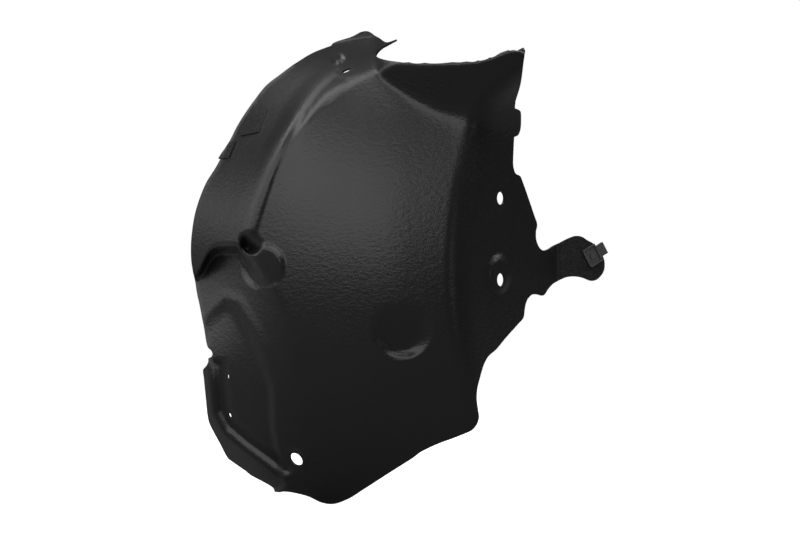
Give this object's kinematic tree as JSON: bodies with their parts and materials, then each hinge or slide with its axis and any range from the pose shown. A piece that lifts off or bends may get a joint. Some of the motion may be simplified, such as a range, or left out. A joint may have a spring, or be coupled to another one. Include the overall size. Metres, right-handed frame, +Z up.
{
  "type": "wheel arch liner",
  "caption": "Front section of a moulded black wheel arch liner: barrel band with a bead, domed inner face, strut collar, rail flange with ear and spring nut, lower return lip.",
  "frame": {"origin": "middle of the upper rail hole at the sheet's outer side", "axes": "+X rearwards, +Y outboard and +Z up in the car, for a right-hand front wheel"},
  "size_m": [0.5923, 0.4454, 0.6966],
  "materials": {
    "moulding": "fine pebble grain, semi-matt black",
    "spring_steel": "black coated spring steel"
  },
  "bodies": {
    "root": {"liner": "moulding", "spring_nut": "spring_steel"}
  },
  "joints": []
}
